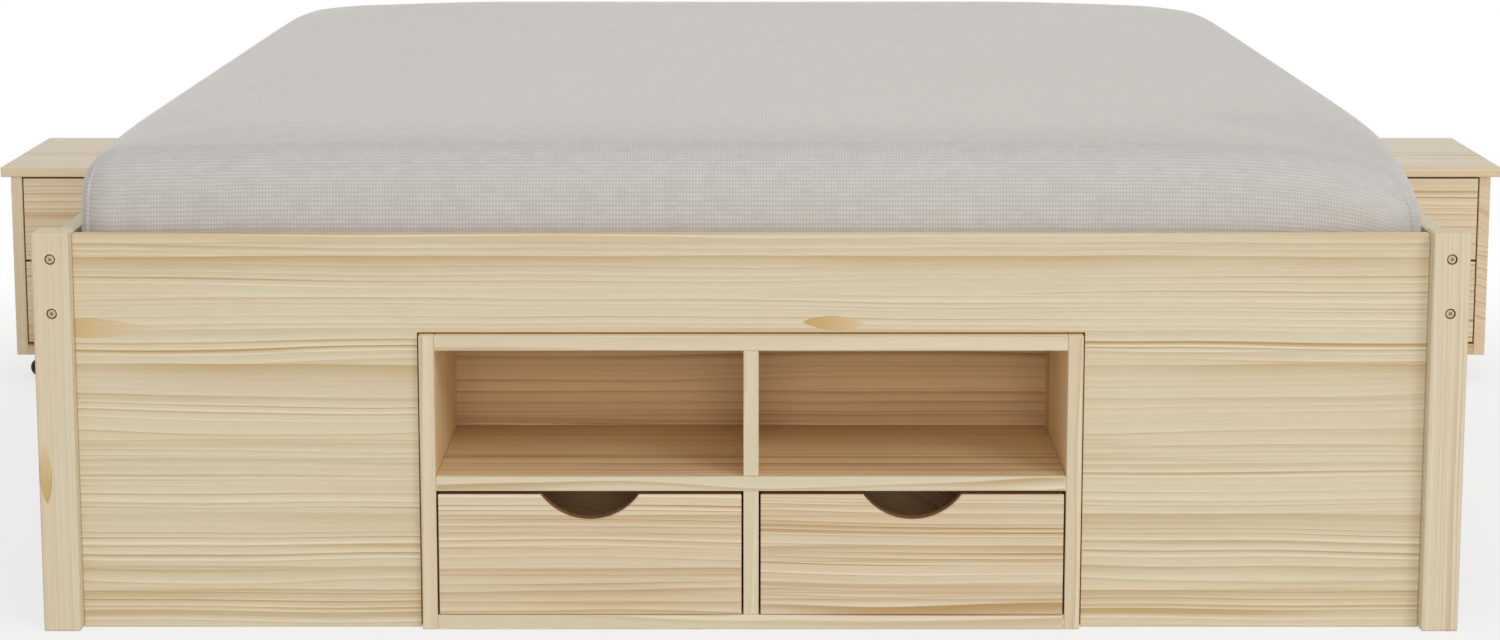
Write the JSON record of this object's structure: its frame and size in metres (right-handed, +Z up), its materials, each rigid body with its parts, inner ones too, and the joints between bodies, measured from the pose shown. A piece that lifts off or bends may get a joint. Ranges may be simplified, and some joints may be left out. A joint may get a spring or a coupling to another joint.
{
  "type": "storage bed with roll-out nightstands",
  "caption": "Low pine storage bed with a shelf and drawer unit in its foot end, a covered mattress, and drawer nightstands on castors that roll out from under its sides.",
  "frame": {"origin": "on the floor in the middle of the bed, halfway between the nightstands and between the foot and head ends", "axes": "+Z up, the foot end faces -Y, +X runs across the bed to the right as seen from the foot end"},
  "size_m": [2.412, 2.086, 0.5725],
  "materials": {
    "pine": "satin",
    "pine_inner": "matte",
    "beech": "matte",
    "zinc_steel": "satin",
    "black_plastic": "satin",
    "mattress_cover": "matte"
  },
  "bodies": {
    "bed": {"foot_post_left": "pine", "foot_post_right": "pine", "head_posts": "pine", "foot_panel": "pine", "head_panel": "pine", "side_rail_left": "pine", "side_rail_right": "pine", "slat_ledgers": "pine_inner", "slats": "pine_inner", "centre_beam": "pine_inner", "centre_legs": "pine_inner", "fixing_cleats": "pine_inner", "frame_bolts": "zinc_steel", "barrel_nuts": "zinc_steel", "dowels": "beech", "mattress": "mattress_cover", "unit_sides": "pine", "unit_shelves": "pine", "unit_dividers": "pine", "unit_back": "pine"},
    "foot_drawer_left": {"foot_drawer_left_front": "pine", "foot_drawer_left_box": "pine_inner"},
    "foot_drawer_right": {"foot_drawer_right_front": "pine", "foot_drawer_right_box": "pine_inner"},
    "nightstand_left": {"nightstand_left_top": "pine", "nightstand_left_sides": "pine", "nightstand_left_bottom": "pine", "nightstand_left_back": "pine_inner", "nightstand_left_runners": "beech", "nightstand_left_castor_plates": "zinc_steel"},
    "nightstand_left_upper_drawer": {"nightstand_left_upper_front": "pine", "nightstand_left_upper_box": "pine_inner"},
    "nightstand_left_lower_drawer": {"nightstand_left_lower_front": "pine", "nightstand_left_lower_box": "pine_inner"},
    "castor_left_1": {"castor_fork_left_1": "black_plastic"},
    "castor_left_1_roller": {"castor_wheel_left_1": "black_plastic"},
    "castor_left_2": {"castor_fork_left_2": "black_plastic"},
    "castor_left_2_roller": {"castor_wheel_left_2": "black_plastic"},
    "castor_left_3": {"castor_fork_left_3": "black_plastic"},
    "castor_left_3_roller": {"castor_wheel_left_3": "black_plastic"},
    "castor_left_4": {"castor_fork_left_4": "black_plastic"},
    "castor_left_4_roller": {"castor_wheel_left_4": "black_plastic"},
    "nightstand_right": {"nightstand_right_top": "pine", "nightstand_right_sides": "pine", "nightstand_right_bottom": "pine", "nightstand_right_back": "pine_inner", "nightstand_right_runners": "beech", "nightstand_right_castor_plates": "zinc_steel"},
    "nightstand_right_upper_drawer": {"nightstand_right_upper_front": "pine", "nightstand_right_upper_box": "pine_inner"},
    "nightstand_right_lower_drawer": {"nightstand_right_lower_front": "pine", "nightstand_right_lower_box": "pine_inner"},
    "castor_right_1": {"castor_fork_right_1": "black_plastic"},
    "castor_right_1_roller": {"castor_wheel_right_1": "black_plastic"},
    "castor_right_2": {"castor_fork_right_2": "black_plastic"},
    "castor_right_2_roller": {"castor_wheel_right_2": "black_plastic"},
    "castor_right_3": {"castor_fork_right_3": "black_plastic"},
    "castor_right_3_roller": {"castor_wheel_right_3": "black_plastic"},
    "castor_right_4": {"castor_fork_right_4": "black_plastic"},
    "castor_right_4_roller": {"castor_wheel_right_4": "black_plastic"}
  },
  "joints": [
    {"name": "foot_drawer_left_slide", "type": "slide", "parent": "bed", "child": "foot_drawer_left", "axis": [0, -1, 0], "range_m": [0, 0.2]},
    {"name": "foot_drawer_right_slide", "type": "slide", "parent": "bed", "child": "foot_drawer_right", "axis": [0, -1, 0], "range_m": [0, 0.2]},
    {"name": "nightstand_left_roll", "type": "slide", "parent": "bed", "child": "nightstand_left", "axis": [-1, 0, 0], "range_m": [-0.371, 0.06]},
    {"name": "nightstand_left_upper_drawer_slide", "type": "slide", "parent": "nightstand_left", "child": "nightstand_left_upper_drawer", "axis": [0, -1, 0], "range_m": [0, 0.23]},
    {"name": "nightstand_left_lower_drawer_slide", "type": "slide", "parent": "nightstand_left", "child": "nightstand_left_lower_drawer", "axis": [0, -1, 0], "range_m": [0, 0.23]},
    {"name": "castor_left_1_swivel", "type": "hinge", "parent": "nightstand_left", "child": "castor_left_1", "pos_m": [-1.146, 0.465, 0.044], "axis": [0, 0, 1], "continuous": true},
    {"name": "castor_left_1_wheel", "type": "hinge", "parent": "castor_left_1", "child": "castor_left_1_roller", "pos_m": [-1.164, 0.465, 0.015], "axis": [0, 1, 0], "continuous": true},
    {"name": "castor_left_2_swivel", "type": "hinge", "parent": "nightstand_left", "child": "castor_left_2", "pos_m": [-0.836, 0.465, 0.044], "axis": [0, 0, 1], "continuous": true},
    {"name": "castor_left_2_wheel", "type": "hinge", "parent": "castor_left_2", "child": "castor_left_2_roller", "pos_m": [-0.854, 0.465, 0.015], "axis": [0, 1, 0], "continuous": true},
    {"name": "castor_left_3_swivel", "type": "hinge", "parent": "nightstand_left", "child": "castor_left_3", "pos_m": [-1.146, 0.729, 0.044], "axis": [0, 0, 1], "continuous": true},
    {"name": "castor_left_3_wheel", "type": "hinge", "parent": "castor_left_3", "child": "castor_left_3_roller", "pos_m": [-1.164, 0.729, 0.015], "axis": [0, 1, 0], "continuous": true},
    {"name": "castor_left_4_swivel", "type": "hinge", "parent": "nightstand_left", "child": "castor_left_4", "pos_m": [-0.836, 0.729, 0.044], "axis": [0, 0, 1], "continuous": true},
    {"name": "castor_left_4_wheel", "type": "hinge", "parent": "castor_left_4", "child": "castor_left_4_roller", "pos_m": [-0.854, 0.729, 0.015], "axis": [0, 1, 0], "continuous": true},
    {"name": "nightstand_right_roll", "type": "slide", "parent": "bed", "child": "nightstand_right", "axis": [1, 0, 0], "range_m": [-0.371, 0.06]},
    {"name": "nightstand_right_upper_drawer_slide", "type": "slide", "parent": "nightstand_right", "child": "nightstand_right_upper_drawer", "axis": [0, -1, 0], "range_m": [0, 0.23]},
    {"name": "nightstand_right_lower_drawer_slide", "type": "slide", "parent": "nightstand_right", "child": "nightstand_right_lower_drawer", "axis": [0, -1, 0], "range_m": [0, 0.23]},
    {"name": "castor_right_1_swivel", "type": "hinge", "parent": "nightstand_right", "child": "castor_right_1", "pos_m": [1.146, 0.465, 0.044], "axis": [0, 0, 1], "continuous": true},
    {"name": "castor_right_1_wheel", "type": "hinge", "parent": "castor_right_1", "child": "castor_right_1_roller", "pos_m": [1.128, 0.465, 0.015], "axis": [0, 1, 0], "continuous": true},
    {"name": "castor_right_2_swivel", "type": "hinge", "parent": "nightstand_right", "child": "castor_right_2", "pos_m": [0.836, 0.465, 0.044], "axis": [0, 0, 1], "continuous": true},
    {"name": "castor_right_2_wheel", "type": "hinge", "parent": "castor_right_2", "child": "castor_right_2_roller", "pos_m": [0.818, 0.465, 0.015], "axis": [0, 1, 0], "continuous": true},
    {"name": "castor_right_3_swivel", "type": "hinge", "parent": "nightstand_right", "child": "castor_right_3", "pos_m": [1.146, 0.729, 0.044], "axis": [0, 0, 1], "continuous": true},
    {"name": "castor_right_3_wheel", "type": "hinge", "parent": "castor_right_3", "child": "castor_right_3_roller", "pos_m": [1.128, 0.729, 0.015], "axis": [0, 1, 0], "continuous": true},
    {"name": "castor_right_4_swivel", "type": "hinge", "parent": "nightstand_right", "child": "castor_right_4", "pos_m": [0.836, 0.729, 0.044], "axis": [0, 0, 1], "continuous": true},
    {"name": "castor_right_4_wheel", "type": "hinge", "parent": "castor_right_4", "child": "castor_right_4_roller", "pos_m": [0.818, 0.729, 0.015], "axis": [0, 1, 0], "continuous": true}
  ]
}
